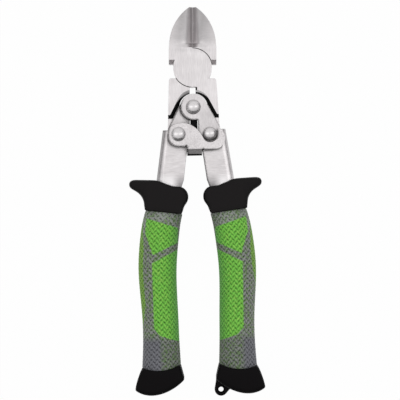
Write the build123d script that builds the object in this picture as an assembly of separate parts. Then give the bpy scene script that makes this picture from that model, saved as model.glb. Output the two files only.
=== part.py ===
from build123d import *
import math
import os

# A compound side cutter with a handle lock, lying on its back, in millimetres.
# +Y points to the jaw tip, +X across the tool, +Z away from the surface it lies on.
# It is built about its hub: the hub axis is X = Y = 0, and Z = 0 is the middle of the thickness.

# ---- jaws and hub ----
jaw_length = 36.0              # hub axis to jaw tip
jaw_half_width = 14.0          # widest place of one jaw
jaw_tip_half_width = 1.9       # blunt tip of one jaw
jaw_belly_y = 8.5              # where the jaw starts to narrow towards its tip
shoulder_y = 2.0               # lower edge of the jaw's shoulder
shoulder_slope = 2.6           # length of the sloped face above the shoulder
head_half_thickness = 6.5
hub_radius = 11.35
lap_clearance = 0.08           # around the hub disc
lap_gap = 0.10                 # between the two discs, across the thickness
edge_gap = 0.06                # between the closed cutting edges
edge_land = 0.30               # thickness left at a cutting edge
bevel_width = 1.15             # steep bevel beside the edge
bevel_half_thickness = 1.9     # half thickness where the bevel ends
relief_slope = 1.55            # rise of the rounded relief where it leaves the bevel
relief_width = 8.0             # bevel and relief together
relief_half_thickness = 6.3    # half thickness where the relief runs into the face
rim_half_thickness = 6.48      # half thickness at the jaw's outer rim
tip_thinning = 0.70            # half thickness at the tip, as a share of that at the root
grind_start_y = 14.6           # where the ground faces start to fall towards the tip
grind_end_y = 11.9             # where the grinding is back at the head's face
grind_top = 7.0                # top of what is ground away
hub_pin_radius = 3.5
hub_pin_skin = 1.5             # steel left over the pin in the front disc
running_clearance = 0.03
seat_clearance = 0.01          # between pieces that are pressed or riveted together

# ---- arms ----
arm_gap = 3.5                  # between the inner edges of the arms
arm_top_y = -6.3               # upper corner of an arm
arm_top_half_width = 13.9
right_arm_low_half_width = 15.8   # lower corner of an arm, above its tang's eye
left_arm_low_half_width = 14.5   # less, to clear the fold of the narrower channel
arm_low_y = -32.5
rear_tang_half = 2.9           # left arm's tang, between the inner plates
front_tang_half = 4.8          # right arm's tang, between the outer plates
tang_eye_radius = 6.4
recess_clearance = 2.5         # from the plates' edge to the recess edge in the face
recess_slope = 2.1             # how far the recess wall runs in as it goes down
recess_shoulder_y = -27.6      # where the recess edge turns outwards

# ---- pivots, with the handles square to their own middle line ----
handle_lean = 1.4              # degrees that the closed handles and pivots sit off the blade line
top_pivot_y = -23.1
side_pivot_x = 9.25
side_pivot_y = -39.0
rivet_radius = 2.6
rivet_head_radius = 4.2
catch_head_radius = 3.95       # head that the latch hooks over
rivet_head_height = 2.5
rivet_head_rim = 0.35          # straight rim under the dome
head_clearance = 0.05          # under the heads that turn against another piece
open_pivot_clearance = 0.15    # round the top rivet in the right handle's plates
bush_wall = 1.3
handle_swing = 12.0            # degrees that each handle opens
latch_swing = 60.0             # degrees that the latch turns on the left handle

# ---- handle frames: folded sheet channels ----
sheet = 1.8
bend_radius = 4.0              # outside of the fold
bend_inside_radius = 1.2
plate_gap = 0.10               # between plates and tangs that turn on each other
top_lobe_radius = 7.7
plate_edge_angle = 27.6        # of the plate's straight outer edge, from the tool's middle line
stem_top_y = -36.4
stem_top_outer = 18.5          # middle line to the outside of the fold at its top
stem_slope = 0.149             # outward run of the stem per unit of length
window_half_width = 2.4        # half of the window between the plates, below the top rivet
window_low_y = -38.0
stem_inner_high = (5.0, -52.0)
stem_inner_low = (6.85, -66.0)
tail_width = 12.0              # channel inside the grip
tail_start_y = -86.0
tail_bend_y = -111.0
tail_end_y = -183.0
tail_turn_radius = 60.0

# ---- latch ----
latch_sheet = 1.4
latch_lift = 2.8               # underside of the latch over the left handle's plate
latch_lobe_radius = 6.2
latch_collar_radius = 5.2
hook_radius = 4.4              # cut-out round the rivet head
hook_shift = 0.1               # cut-out centre beside the rivet
hook_drop = 0.8                # cut-out centre below the rivet
crook_radius = 6.6             # outer corner of the hook
hook_arm = 4.4                 # steel outside the cut-out
hook_tip_rise = 3.1            # hook tip over the rivet's centre
latch_bottom_y = -48.5
latch_left_bottom_y = -46.4
lip_half_width = 4.35
lip_fold = 0.6                 # fold line over the plate's lower edge
lip_length = 3.9
lip_drop = 2.3
relief_radius = 0.65

# ---- spring and bobbin inside the plates ----
bobbin_hub_radius = 3.6
bobbin_web = 1.8               # thickness of the block that fills the window
bobbin_block_half_width = 2.1
bobbin_block_low_y = -38.3
spring_wire = 0.7
spring_turns = 1.5
spring_leg = 5.0
soft_clearance = 0.2

# ---- grips ----
# (distance along the tool, middle of the grip, width)
grip_stations = [
    (-80.0, 17.6, 23.0),
    (-90.0, 20.4, 23.2),
    (-100.0, 22.05, 23.4),
    (-118.0, 23.6, 23.1),
    (-145.0, 22.7, 21.9),
    (-160.0, 22.45, 22.0),
    (-180.0, 22.6, 24.0),
]
grip_thickness = 20.6
sleeve_wall = 1.2
grip_top_inner = (8.5, -86.0)  # seam between guard and sleeve
grip_top_outer = (30.1, -83.3)
grip_end_inner = (11.4, -174.6)
grip_end_outer = (33.8, -176.1)
grip_end_sag = 2.2
seam_clearance = 0.05
pocket_clearance = 0.05        # between a channel and what is moulded round it

# ---- guards and end caps ----
guard_thickness = 22.4
guard_wing_thickness = 13.0
guard_chamfer = 3.0            # thickness that a guard loses on each face towards the tool's middle
guard_reach = 39.2             # middle line to the tip of the thumb wing
wing_rise = 15.9               # wing tip over the outer end of the seam
wing_round = 2.8               # reach of the wing's rounded tip
mouth_rise = 16.1              # mouth over the inner end of the seam
mouth_ledge = 4.2              # length of the mouth's low part, beside the frame
collar_bulge = 4.0             # how far the collar stands in from its seam
cap_thickness = 22.4
cap_edge = 2.5                 # rounding of a cap
cap_length = 12.7              # outer end of the seam to the outer corner
cap_flare = 4.4                # how far that corner stands out
cap_heel_length = 8.6          # inner end of the seam to the inner corner
cap_heel_flare = 2.1
cap_sole = 3.2                 # how far the end bulges past the outer corner
eye_radius = 1.75
eye_wall = 2.0
eye_thickness = 6.0
eye_offset = (2.9, -6.8)       # centre of the cord eye from the inner corner


def top_pivot():
    return Vector(0, top_pivot_y)


def side_pivot(side):
    return Vector(side * side_pivot_x, side_pivot_y)


def lean(shape):
    """Turns a piece drawn square to the handles' middle line to its place at the closed blades."""
    return shape.rotate(Axis.Z, handle_lean)


def leaned(point):
    """The place of a point that is given square to the handles' middle line."""
    return Vector(point.X, point.Y).rotate(Axis.Z, handle_lean)


def upward(face):
    return face if face.normal_at().Z > 0 else -face


def area(points):
    return upward(Face(Wire.make_polygon([Vector(*point) for point in points])))


def disc(centre, radius):
    return upward(Pos(centre.X, centre.Y) * Circle(radius).face())


def slab(face, low, high):
    """A plate with the outline of the face, from one height to another."""
    return Solid.extrude(Pos(0, 0, low) * face, Vector(0, 0, high - low))


def post(centre, radius, low, high):
    return slab(disc(centre, radius), low, high)


def single(shape):
    """The one solid that a boolean result holds."""
    return shape.solids().sort_by(SortBy.VOLUME)[-1]


# ---- heights of the layers over the middle of the thickness ----
left_plate_low = rear_tang_half + plate_gap
left_plate_high = left_plate_low + sheet
right_plate_low = left_plate_high + plate_gap
right_plate_high = right_plate_low + sheet
latch_low = left_plate_high + latch_lift
latch_high = latch_low + latch_sheet
rear_spacer_high = right_plate_high


def plate_edge_direction():
    angle = math.radians(plate_edge_angle)
    return Vector(math.sin(angle), -math.cos(angle))


def plate_edge_normal():
    angle = math.radians(plate_edge_angle)
    return Vector(math.cos(angle), math.sin(angle))


# ---- jaws ----
def jaw_outline():
    """The left jaw in plan, from its shoulder to its tip."""
    edge_x = -edge_gap / 2
    tip = Vector(-jaw_tip_half_width, jaw_length)
    belly = Vector(-jaw_half_width, jaw_belly_y)
    cheek = Vector(-0.815 * jaw_half_width, jaw_belly_y + 0.57 * (jaw_length - jaw_belly_y))
    side = Edge.make_spline([belly, cheek, tip], tangents=[Vector(0, 1), Vector(1, 0.75)])
    corners = [tip, Vector(edge_x, jaw_length), Vector(edge_x, shoulder_y)]
    corners += [Vector(-jaw_half_width, shoulder_y), belly]
    rest = Wire.make_polygon(corners, close=False)
    return upward(Face(Wire([side] + rest.edges())))


def grind_section(edge, bevel, relief, rim, slope):
    """Half section of what the grinding takes off one jaw, with the heights it leaves."""
    half_width = jaw_half_width + 1
    bevel_end = Vector(bevel_width, 0, bevel)
    relief_end = Vector(relief_width, 0, relief)
    outer_rim = Vector(half_width, 0, rim)
    rounded = Edge.make_spline([bevel_end, relief_end], tangents=[Vector(1, 0, slope), outer_rim - relief_end])
    lines = Wire.make_polygon([
        relief_end, outer_rim, Vector(half_width, 0, grind_top), Vector(0, 0, grind_top), Vector(0, 0, edge), bevel_end,
    ], close=False)
    return Face(Wire([rounded] + lines.edges()))


def grind_cut():
    """What the grinding takes off both faces of both jaws."""
    land = edge_land / 2
    face = head_half_thickness + 0.05
    heights = (bevel_half_thickness, relief_half_thickness, rim_half_thickness)
    at_face = grind_section(face, face, face, face, 0)
    root = grind_section(land, *heights, relief_slope)
    tip = grind_section(land, *[height * tip_thinning for height in heights], relief_slope)
    run_out = [Pos(0, grind_end_y, 0) * at_face, Pos(0, grind_start_y, 0) * root]
    blade = [Pos(0, grind_start_y, 0) * root, Pos(0, jaw_length + 1, 0) * tip]
    parts = [Solid.make_loft([section.outer_wire() for section in pair], True) for pair in (run_out, blade)]
    quarter = parts[0] + parts[1]
    front = quarter + quarter.mirror(Plane.YZ)
    return front + front.mirror(Plane.XY)


def shoulder_cut():
    """The slopes over the lower edge of the left jaw's shoulder, front and back."""
    half = head_half_thickness
    section = Wire.make_polygon([
        Vector(-2 * jaw_half_width, shoulder_y - 1, half + 1),
        Vector(-2 * jaw_half_width, shoulder_y + shoulder_slope, half + 0.01),
        Vector(-2 * jaw_half_width, shoulder_y, half / 2),
        Vector(-2 * jaw_half_width, shoulder_y - 1, half / 2),
    ])
    wedge = Solid.extrude(Face(section), Vector(2 * jaw_half_width, 0, 0))
    wedge = wedge - post(Vector(0, 0), hub_radius + lap_clearance, -2 * half, 2 * half)
    return wedge + wedge.mirror(Plane.XY)


def recess_outline(shift):
    """Edge of the recess that clears the handle plates, on the right side."""
    radius = top_lobe_radius + shift
    along = plate_edge_direction()
    start = top_pivot() + plate_edge_normal() * radius
    turn = start + along * ((start.Y - recess_shoulder_y) / -along.Y)
    far = 2 * jaw_half_width
    low = side_pivot_y - 2 * tang_eye_radius
    polygon = area([
        (start.X, start.Y), (turn.X, turn.Y), (far, recess_shoulder_y), (far, low), (-radius, low),
        (-radius, top_pivot_y), (0, top_pivot_y),
    ])
    return (polygon + disc(top_pivot(), radius)).face()


def recess_cut(tang_half):
    """The recess over the right tang, with a wall that slopes in towards it."""
    depth = head_half_thickness - tang_half
    edge = Pos(0, 0, head_half_thickness) * recess_outline(recess_clearance)
    taper = math.degrees(math.atan2(recess_slope, depth))
    front = extrude(edge, amount=depth, dir=(0, 0, -1), taper=taper)
    return front + front.mirror(Plane.XY)


def arm_outline(side_lean, low_half_width):
    """The right arm and its tang in plan. The lean turns the pivots about the hub."""
    eye = side_pivot(1).rotate(Axis.Z, side_lean)
    inner = arm_gap / 2
    body = area([
        (inner, -hub_radius / 2), (inner, top_pivot_y), (eye.X - tang_eye_radius, top_pivot_y),
        (eye.X - tang_eye_radius, eye.Y), (eye.X, eye.Y),
        (eye.X + tang_eye_radius, eye.Y), (low_half_width, arm_low_y),
        (arm_top_half_width, arm_top_y - 1), (arm_top_half_width - 0.8, arm_top_y),
        (hub_radius / 2, arm_top_y),
    ])
    arm = body + disc(eye, tang_eye_radius)
    lobe_clearance = top_lobe_radius + recess_clearance - recess_slope + 0.3
    return (arm - disc(top_pivot().rotate(Axis.Z, side_lean), lobe_clearance)).face()


def jaw_piece(tang_half, side_lean, low_half_width):
    """One forging: left jaw, hub disc in front, and the right arm with its tang."""
    half = head_half_thickness
    jaw = jaw_outline()
    arm = arm_outline(side_lean, low_half_width)
    hub = disc(Vector(0, 0), hub_radius)
    around_other_hub = disc(Vector(0, 0), hub_radius + lap_clearance)
    front = slab(jaw, lap_gap / 2, half) + slab(hub, lap_gap / 2, half) + slab(arm, lap_gap / 2, half)
    jaw_behind = slab(jaw, -half, lap_gap / 2) - slab(around_other_hub, -half, lap_gap / 2)
    arm_behind = slab(arm, -half, lap_gap / 2) - slab(around_other_hub, -half, lap_gap / 2)
    piece = front + jaw_behind + arm_behind
    piece = piece - grind_cut() - shoulder_cut()
    piece = piece - recess_cut(tang_half).rotate(Axis.Z, side_lean)
    eye = side_pivot(1).rotate(Axis.Z, side_lean)
    bore = rivet_radius + bush_wall + seat_clearance
    return single(piece - post(eye, bore, -half, half))


def front_jaw():
    pin_hole = post(Vector(0, 0), hub_pin_radius + seat_clearance, 0, head_half_thickness - hub_pin_skin)
    return single(jaw_piece(front_tang_half, handle_lean, right_arm_low_half_width) - pin_hole)


def rear_jaw():
    """The other forging is the first one turned over about the tool's length."""
    turned = jaw_piece(rear_tang_half, -handle_lean, left_arm_low_half_width).rotate(Axis.Y, 180)
    pin_hole = post(Vector(0, 0), hub_pin_radius + running_clearance, -head_half_thickness, 0)
    return single(turned - pin_hole)


def hub_pin():
    top = head_half_thickness - hub_pin_skin - seat_clearance
    return post(Vector(0, 0), hub_pin_radius, -head_half_thickness, top)


# ---- handle frames ----
def stem_outer_line(y):
    return stem_top_outer + stem_slope * (stem_top_y - y)


def tail_path(shift):
    """Points down the outside of the fold, moved inwards by the shift."""
    top = Vector(stem_top_outer - shift, stem_top_y)
    bend = Vector(stem_outer_line(tail_bend_y) - shift, tail_bend_y)
    return top, bend, Vector(bend.X, tail_end_y)


def frame_outline():
    """The right handle's frame in plan."""
    along = plate_edge_direction()
    start = top_pivot() + plate_edge_normal() * top_lobe_radius
    corner = start + along * ((start.Y - stem_top_y) / -along.Y)
    outer_top, outer_bend, outer_end = tail_path(0)
    tail_inner_x = stem_outer_line(tail_start_y) - tail_width
    inner_bend = Vector(outer_bend.X - tail_width, tail_bend_y)
    lobe_bottom = top_pivot_y - top_lobe_radius + 0.15
    body = area([
        (0, top_pivot_y), (start.X, start.Y), (corner.X, corner.Y), (outer_top.X, outer_top.Y),
        (outer_bend.X, outer_bend.Y), (outer_end.X, outer_end.Y), (outer_end.X - tail_width, tail_end_y),
        (inner_bend.X, inner_bend.Y), (tail_inner_x, tail_start_y), stem_inner_low, stem_inner_high,
        (window_half_width, window_low_y), (window_half_width, lobe_bottom), (0, lobe_bottom),
    ])
    turns = [v for v in body.vertices() if abs(v.Y - tail_bend_y) < 0.01]
    body = body.fillet_2d(tail_turn_radius, turns)
    return (body + disc(top_pivot(), top_lobe_radius)).face()


def channel_hollow(low_half, clearance=0.0):
    """The space between the two plates, inside the fold, less the clearance all round."""
    low_half = low_half - clearance
    outer_top, outer_bend, outer_end = tail_path(sheet + clearance)
    far = 2 * stem_top_outer
    body = area([
        (-far, 0), (far, 0), (far, stem_top_y), (outer_top.X, stem_top_y), (outer_bend.X, outer_bend.Y),
        (outer_end.X, tail_end_y - 1), (-far, tail_end_y - 1),
    ])
    turns = [v for v in body.vertices() if abs(v.Y - tail_bend_y) < 0.01]
    body = body.fillet_2d(tail_turn_radius - sheet, turns)
    block = slab(body, -low_half, low_half)
    return fillet(fold_edges(block, outer_top.X, low_half), bend_inside_radius)


def fold_edges(block, top_x, half):
    """The long edges at the outside of the fold, front and back."""
    found = []
    for edge in block.edges():
        middle = edge.position_at(0.5)
        ends = [edge.position_at(0), edge.position_at(1)]
        beside = all(point.X > top_x - 0.01 for point in ends + [middle])
        below = all(point.Y < stem_top_y + 0.01 for point in ends + [middle])
        flat = abs(abs(middle.Z) - half) < 0.01 and abs(ends[0].Z - ends[1].Z) < 0.01
        long = abs(ends[0].Y - ends[1].Y) > 1.0
        if beside and below and flat and long:
            found.append(edge)
    return found


def channel(low_half, high_half):
    """The right handle's folded frame, before its holes."""
    block = slab(frame_outline(), -high_half, high_half)
    block = fillet(fold_edges(block, stem_top_outer, high_half), bend_radius)
    return single(block - channel_hollow(low_half))


def channel_envelope(low_half, high_half, clearance):
    """What a grip, guard or cap leaves free for a channel."""
    grown = offset(frame_outline(), amount=clearance).face()
    below_window = area([(0, window_low_y), (4 * stem_top_outer, window_low_y),
                         (4 * stem_top_outer, tail_end_y - 1), (0, tail_end_y - 1)])
    return slab((grown & below_window).face(), -high_half - clearance, high_half + clearance)


def drilled(frame, side, side_radius, top_radius, half):
    frame = frame - post(side_pivot(side), side_radius, -half, half)
    return frame - post(top_pivot(), top_radius, -half, half)


def left_handle_frame():
    frame = channel(left_plate_low, left_plate_high).mirror(Plane.YZ)
    hole = rivet_radius + seat_clearance
    return lean(single(drilled(frame, -1, hole, hole, left_plate_high + 1)))


def right_handle_frame():
    frame = channel(right_plate_low, right_plate_high)
    hole = rivet_radius + seat_clearance
    top_hole = rivet_radius + open_pivot_clearance
    return lean(single(drilled(frame, 1, hole, top_hole, right_plate_high + 1)))


# ---- rivets, bushes and spacers ----
def rivet_head(centre, radius, seat):
    """A domed head that stands on the seat height."""
    rise = rivet_head_height - rivet_head_rim
    ball = (radius ** 2 + rise ** 2) / (2 * rise)
    rim = post(centre, radius, seat, seat + rivet_head_height)
    dome = Pos(centre.X, centre.Y, seat + rivet_head_height - ball) * Sphere(ball)
    return rim & dome


def rivet(centre, head_radius, front_seat, back_seat):
    shank = post(centre, rivet_radius, -back_seat, front_seat)
    front = rivet_head(centre, head_radius, front_seat)
    back = rivet_head(centre, head_radius, back_seat).mirror(Plane.XY)
    return single(shank + front + back)


def top_pivot_rivet():
    seat = right_plate_high + head_clearance
    return lean(rivet(top_pivot(), rivet_head_radius, seat, seat))


def right_pivot_rivet():
    seat = right_plate_high + seat_clearance
    return lean(rivet(side_pivot(1), catch_head_radius, seat, seat))


def left_pivot_rivet():
    front_seat = latch_high + head_clearance
    back_seat = rear_spacer_high + seat_clearance
    return lean(rivet(side_pivot(-1), rivet_head_radius, front_seat, back_seat))


def ring(centre, inner, outer, low, high):
    return single(post(centre, outer, low, high) - post(centre, inner, low, high))


def tang_bush(side, tang_half):
    inner = rivet_radius + running_clearance
    return lean(ring(side_pivot(side), inner, rivet_radius + bush_wall, -tang_half, tang_half))


def latch_spacer():
    inner = rivet_radius + seat_clearance
    low = left_plate_high + seat_clearance
    return lean(ring(side_pivot(-1), inner, latch_collar_radius, low, latch_low - head_clearance))


def rear_spacer():
    inner = rivet_radius + seat_clearance
    low = left_plate_high + seat_clearance
    collar = ring(side_pivot(-1), inner, latch_collar_radius, low, rear_spacer_high)
    return lean(collar.mirror(Plane.XY))


# ---- latch ----
def latch_outline():
    """The hook plate in plan, without its lip: once round from the top of its lobe."""
    lobe = side_pivot(-1)
    catch = side_pivot(1)
    hook = Vector(catch.X + hook_shift, catch.Y - hook_drop)
    lobe_top = lobe + Vector(0, latch_lobe_radius)
    lobe_left = lobe - Vector(latch_lobe_radius, 0)
    back_left = Vector(lobe_left.X, latch_left_bottom_y + latch_lobe_radius)
    back_low = Vector(lobe.X, latch_left_bottom_y)
    hook_left = hook + Vector(-hook_radius, 0).rotate(Axis.Z, 25)
    hook_right = hook + Vector(hook_radius, 0)
    tip_inner = Vector(hook_right.X, catch.Y + hook_tip_rise - 0.7)
    tip_top = Vector(hook_right.X + 0.8, catch.Y + hook_tip_rise)
    knuckle = hook_right + Vector(hook_arm, 0)
    round_centre = Vector(knuckle.X - crook_radius, latch_bottom_y + crook_radius)
    crook_right = round_centre + Vector(crook_radius, 0)
    crook_low = round_centre - Vector(0, crook_radius)
    right_notch = Vector(lip_half_width + 2 * relief_radius, latch_bottom_y)
    right_root = Vector(lip_half_width, latch_bottom_y)
    left_root = Vector(-lip_half_width, latch_left_bottom_y)
    left_notch = left_root - Vector(2 * relief_radius, 0)
    fold = latch_bottom_y + lip_fold
    return upward(Face(Wire([
        Edge.make_spline([lobe_top, lobe + Vector(7.8, 5.1), catch + Vector(-6.5, 1.6), hook_left]),
        Edge.make_three_point_arc(hook_left, hook - Vector(0, hook_radius), hook_right),
        Edge.make_line(hook_right, tip_inner),
        Edge.make_line(tip_inner, tip_top),
        Edge.make_spline([tip_top, Vector(knuckle.X - 1.0, catch.Y + 0.8), crook_right]),
        Edge.make_three_point_arc(crook_right, round_centre + Vector(crook_radius, 0).rotate(Axis.Z, -45),
                                  crook_low),
        Edge.make_line(crook_low, right_notch),
        Edge.make_three_point_arc(right_notch, (right_notch + right_root) * 0.5 + Vector(0, relief_radius),
                                  right_root),
        Edge.make_line(right_root, Vector(lip_half_width, fold)),
        Edge.make_line(Vector(lip_half_width, fold), Vector(-lip_half_width, fold)),
        Edge.make_line(Vector(-lip_half_width, fold), left_root),
        Edge.make_three_point_arc(left_root, (left_root + left_notch) * 0.5 + Vector(0, relief_radius),
                                  left_notch),
        Edge.make_line(left_notch, back_low),
        Edge.make_three_point_arc(back_low, back_low + Vector(0, latch_lobe_radius)
                                  + Vector(-latch_lobe_radius, 0).rotate(Axis.Z, 45), back_left),
        Edge.make_line(back_left, lobe_left),
        Edge.make_three_point_arc(lobe_left, lobe + Vector(-latch_lobe_radius, 0).rotate(Axis.Z, -45),
                                  lobe_top),
    ])))


def latch_lip():
    """The thumb lip, bent down towards the handles."""
    fold_y = latch_bottom_y + lip_fold
    section = Wire.make_polygon([
        Vector(-lip_half_width, fold_y, latch_low), Vector(-lip_half_width, fold_y, latch_high),
        Vector(-lip_half_width, fold_y - lip_length, latch_high - lip_drop),
        Vector(-lip_half_width, fold_y - lip_length, latch_low - lip_drop),
    ])
    return Solid.extrude(Face(section), Vector(2 * lip_half_width, 0, 0))


def lock_latch():
    plate = slab(latch_outline(), latch_low, latch_high) + latch_lip()
    hole = post(side_pivot(-1), rivet_radius + running_clearance, latch_low, latch_high)
    return lean(single(plate - hole))


# ---- bobbin and springs ----
def spring_bobbin():
    """Black block on the top rivet: a hub, and a web that fills the window between the tangs."""
    half = left_plate_low - plate_gap
    hub = ring(top_pivot(), rivet_radius + seat_clearance, bobbin_hub_radius, -half, half)
    width = bobbin_block_half_width
    block = area([
        (-width, top_pivot_y - bobbin_hub_radius + 1), (width, top_pivot_y - bobbin_hub_radius + 1),
        (width, bobbin_block_low_y), (-width, bobbin_block_low_y),
    ])
    web = slab(block, -bobbin_web / 2, bobbin_web / 2)
    bore = post(top_pivot(), rivet_radius + seat_clearance, -half, half)
    return lean(single(hub + web - bore))


def torsion_spring():
    """One coil beside the web, with a leg towards each tang."""
    radius = bobbin_hub_radius + soft_clearance + spring_wire / 2
    pitch = spring_wire * 1.05
    low = bobbin_web / 2 + soft_clearance / 2 + spring_wire / 2
    coil_path = Edge.make_helix(pitch, pitch * spring_turns, radius)
    ends = [Plane(origin=coil_path @ 0, z_dir=-(coil_path % 0)), Plane(origin=coil_path @ 1, z_dir=coil_path % 1)]
    coil = Solid.sweep(Wire.make_circle(spring_wire / 2, ends[0]), Wire([coil_path]))
    legs = [Solid.extrude(Face(Wire.make_circle(spring_wire / 2, end)), end.z_dir * spring_leg) for end in ends]
    return Pos(0, top_pivot_y, low) * (coil + legs[0] + legs[1])


def return_springs():
    front = single(torsion_spring())
    return [lean(front), lean(front.mirror(Plane.XY))]


# ---- grips ----
def grip_body(shrink):
    wires = []
    for along, middle, width in grip_stations:
        plane = Plane(origin=(middle, along, 0), x_dir=(1, 0, 0), z_dir=(0, -1, 0))
        wires.append(Wire.make_ellipse(width / 2 - shrink, grip_thickness / 2 - shrink, plane))
    return Solid.make_loft(wires)


def grip_window(clearance):
    """What lies between the guard's seam and the end cap's seam, in plan."""
    inner_x, inner_y = grip_top_inner
    outer_x, outer_y = grip_top_outer
    slope = (outer_y - inner_y) / (outer_x - inner_x)
    left, right = inner_x - 10, outer_x + 10
    end_left = Vector(grip_end_inner[0], grip_end_inner[1] + clearance)
    end_right = Vector(grip_end_outer[0], grip_end_outer[1] + clearance)
    end_middle = (end_left + end_right) * 0.5 - Vector(0, grip_end_sag)
    sag = Edge.make_three_point_arc(end_left, end_middle, end_right)
    rest = Wire.make_polygon([
        end_right, Vector(right, end_right.Y), Vector(right, inner_y + slope * (right - inner_x) - clearance),
        Vector(left, inner_y + slope * (left - inner_x) - clearance), Vector(left, end_left.Y), end_left,
    ], close=False)
    return upward(Face(Wire([sag] + rest.edges())))


def plate_heights(side):
    """Underside and top of the plates of one handle."""
    if side < 0:
        return left_plate_low, left_plate_high
    return right_plate_low, right_plate_high


def frame_room(side):
    """The space that a channel takes inside guard and cap, on the right side."""
    low, high = plate_heights(side)
    return channel_envelope(low, high, pocket_clearance)


def sheet_room(side):
    """The space that a channel's sheet alone takes, because the core also fills the channel."""
    low, high = plate_heights(side)
    return channel_envelope(low, high, pocket_clearance) - channel_hollow(low, pocket_clearance)


def on_side(shape, side):
    """Puts a piece drawn on the right side on its own side."""
    return lean(shape if side > 0 else shape.mirror(Plane.YZ))


def grip_core(side):
    window = slab(grip_window(0), -grip_thickness, grip_thickness)
    core = grip_body(sleeve_wall) & window
    return on_side(single(core - sheet_room(side)), side)


def grip_sleeve(side):
    window = slab(grip_window(0), -grip_thickness, grip_thickness)
    skin = grip_body(0) & window
    return on_side(single(skin - grip_body(sleeve_wall - pocket_clearance)), side)


# ---- guards and end caps ----
def guard_outline():
    """The right guard in plan: a collar with a thumb wing."""
    inner = Vector(*grip_top_inner)
    outer = Vector(*grip_top_outer)
    out = guard_reach - outer.X
    wing_tip = Vector(guard_reach, outer.Y + wing_rise)
    wing_top = wing_tip + Vector(-wing_round, 0.75 * wing_round)
    wing_end = wing_tip - Vector(0.43 * wing_round, 0.96 * wing_round)
    wing_under = [
        outer + Vector(0.45 * out, 0.69 * wing_rise),
        outer + Vector(0.12 * out, 0.47 * wing_rise),
        outer + Vector(0.01 * out, 0.21 * wing_rise),
    ]
    mouth_inner = inner + Vector(0.07 * mouth_ledge, mouth_rise)
    mouth_step = mouth_inner + Vector(mouth_ledge, 0)
    mouth_outer = Vector(outer.X - 0.8 * out, wing_top.Y - 0.6)
    collar_middle = inner + Vector(-collar_bulge, 0.67 * mouth_rise)
    collar_low = inner + Vector(-0.33 * collar_bulge, 0.31 * mouth_rise)
    seam_outer = outer + Vector(0, seam_clearance)
    seam_inner = inner + Vector(0, seam_clearance)
    return upward(Face(Wire([
        Edge.make_three_point_arc(wing_top, wing_tip, wing_end),
        Edge.make_line(wing_end, wing_under[0]),
        Edge.make_spline(wing_under),
        Edge.make_line(wing_under[-1], seam_outer),
        Edge.make_line(seam_outer, seam_inner),
        Edge.make_line(seam_inner, collar_low),
        Edge.make_three_point_arc(collar_low, collar_middle, mouth_inner),
        Edge.make_line(mouth_inner, mouth_step),
        Edge.make_line(mouth_step, mouth_outer),
        Edge.make_line(mouth_outer, wing_top),
    ])))


def guard_profile():
    """What a guard keeps of its thickness across the tool, thinner towards both edges."""
    half = guard_thickness / 2
    thin = guard_wing_thickness / 2 - guard_chamfer / 2
    start = grip_top_outer[1] + 2 * wing_rise
    full_from = grip_top_inner[0]
    full_to = grip_top_outer[0] - guard_chamfer
    far = guard_reach + guard_chamfer
    corners = [(0, half - guard_chamfer), (full_from, half), (full_to, half), (far, thin)]
    mirrored = [(x, -z) for x, z in reversed(corners)]
    section = Wire.make_polygon([Vector(x, start, z) for x, z in corners + mirrored])
    return Solid.extrude(Face(section), Vector(0, -4 * wing_rise, 0))


def guard(side):
    half = guard_thickness / 2
    block = slab(guard_outline(), -half, half) & guard_profile()
    return on_side(single(block - frame_room(side)), side)


def cap_corners():
    """Inner and outer corner of the right end cap."""
    inner = Vector(*grip_end_inner) - Vector(cap_heel_flare, cap_heel_length)
    outer = Vector(*grip_end_outer) + Vector(cap_flare, -cap_length)
    return inner, outer


def cap_outline():
    """The right end cap in plan, without its cord eye."""
    seam_inner = Vector(*grip_end_inner) - Vector(0, seam_clearance)
    seam_outer = Vector(*grip_end_outer) - Vector(0, seam_clearance)
    sag = (seam_inner + seam_outer) * 0.5 - Vector(0, grip_end_sag)
    inner, outer = cap_corners()
    width = outer.X - inner.X
    heel = seam_inner - Vector(0.57 * cap_heel_flare, 0.57 * cap_heel_length)
    toe = seam_outer + Vector(0.64 * cap_flare, -0.5 * cap_length)
    sole_inner = Vector(inner.X + 0.28 * width, outer.Y - 0.12 * cap_sole)
    sole_outer = Vector(inner.X + 0.73 * width, outer.Y - cap_sole)
    return Face(Wire([
        Edge.make_three_point_arc(seam_outer, sag, seam_inner),
        Edge.make_spline([seam_inner, heel, inner]),
        Edge.make_spline([inner, sole_inner, sole_outer, outer]),
        Edge.make_spline([outer, toe, seam_outer]),
    ]))


def cord_eye_centre():
    inner, outer = cap_corners()
    return inner + Vector(*eye_offset)


def cord_eye_outline():
    eye = cord_eye_centre()
    inner, outer = cap_corners()
    reach = eye_radius + eye_wall
    neck = area([
        (inner.X + 0.6 * cap_heel_flare, inner.Y + 0.55 * cap_heel_length),
        (inner.X + 2.9 * reach, inner.Y - 0.9 * reach), (eye.X + 0.8 * reach, eye.Y - 0.6 * reach),
        (eye.X, eye.Y), (eye.X - reach, eye.Y),
    ])
    return (disc(eye, reach) + neck).face()


def rounded_cap(block, half):
    """Rounds the long edges of a cap, but not those at its seam."""
    found = []
    for edge in block.edges():
        ends = [edge.position_at(0), edge.position_at(1)]
        flat = abs(ends[0].Z - ends[1].Z) < 0.01 and abs(abs(ends[0].Z) - half) < 0.01
        at_seam = min(point.Y for point in ends) > grip_end_outer[1] - 2 * seam_clearance
        if flat and not at_seam:
            found.append(edge)
    return fillet(found, cap_edge)


def end_cap(side):
    half = cap_thickness / 2
    cap = rounded_cap(slab(cap_outline(), -half, half), half)
    if side > 0:
        cap = cap + slab(cord_eye_outline(), -eye_thickness / 2, eye_thickness / 2)
        cap = cap - post(cord_eye_centre(), eye_radius, -half, half)
    return on_side(single(cap - frame_room(side)), side)


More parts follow.
